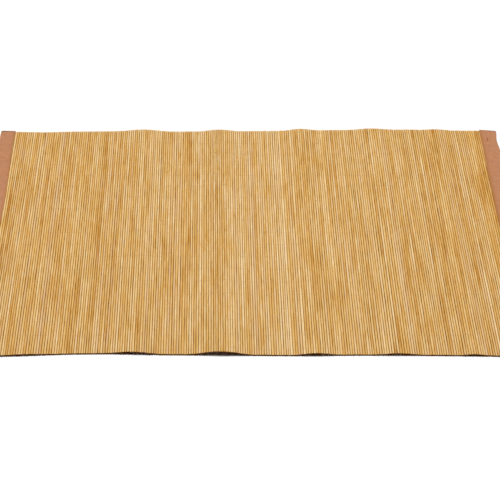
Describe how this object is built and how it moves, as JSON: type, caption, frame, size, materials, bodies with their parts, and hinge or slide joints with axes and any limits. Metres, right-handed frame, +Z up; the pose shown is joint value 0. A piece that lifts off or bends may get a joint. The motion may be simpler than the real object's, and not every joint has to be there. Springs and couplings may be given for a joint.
{
  "type": "bamboo placemat",
  "caption": "Rectangular placemat of thin bamboo sticks laid side by side and held by rows of cotton thread, with a brown cotton tape folded over each short end.",
  "frame": {"origin": "middle of the mat's outline, on the surface that it lies on", "axes": "+X along the mat's length, from the left binding to the right one; +Y along the bamboo sticks, from the front edge to the back edge; +Z up through the mat"},
  "size_m": [0.4, 0.2958, 0.0038],
  "materials": {
    "bamboo": "bare split bamboo, satin, every stick its own honey or straw tone",
    "binding": "plain woven cotton tape, matt, terracotta brown",
    "thread": "twisted cotton thread, matt, straw coloured"
  },
  "bodies": {
    "root": {"woven_field": "bamboo", "left_binding": "binding", "right_binding": "binding"}
  },
  "joints": []
}
